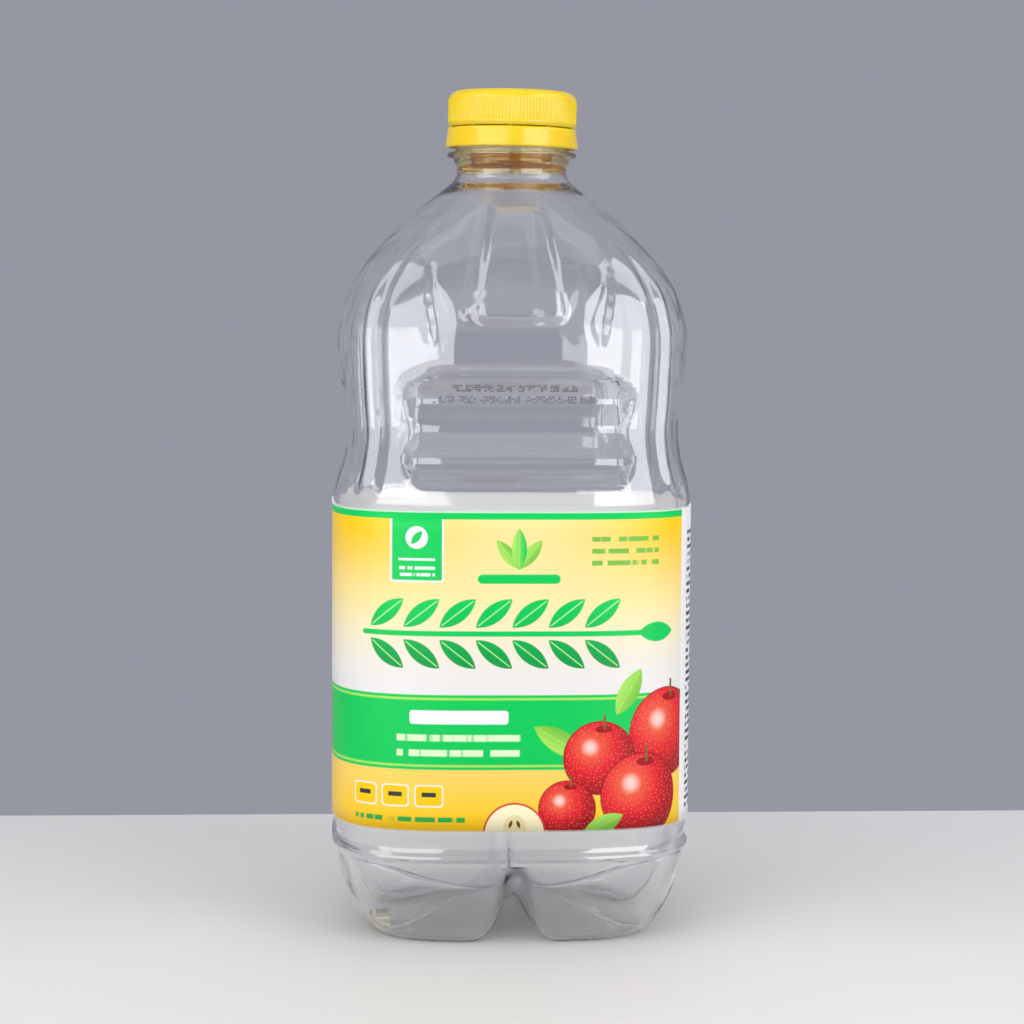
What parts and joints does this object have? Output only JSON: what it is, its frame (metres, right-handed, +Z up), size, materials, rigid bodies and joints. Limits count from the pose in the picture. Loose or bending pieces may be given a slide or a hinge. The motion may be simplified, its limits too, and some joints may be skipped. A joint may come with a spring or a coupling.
{
  "type": "juice bottle",
  "caption": "Clear plastic juice bottle with fluted corners, a ribbed grip, a yellow screw cap with a loose ring under it and a printed wrap label, empty but for a drop of drink.",
  "frame": {"origin": "on the surface that the bottle stands on, under the middle of its bounding box", "axes": "+Z up along the bottle, -Y towards the front of the label, X along the bottle's wider side"},
  "size_m": [0.1124, 0.1, 0.2626],
  "materials": {
    "clear_plastic": "clear blown plastic",
    "yellow_plastic": "satin moulded plastic",
    "printed_film": "printed film",
    "drink": "thin juice"
  },
  "bodies": {
    "root": {"bottle": "clear_plastic", "cap": "yellow_plastic", "tamper_band": "yellow_plastic", "label": "printed_film", "juice_residue": "drink"}
  },
  "joints": []
}
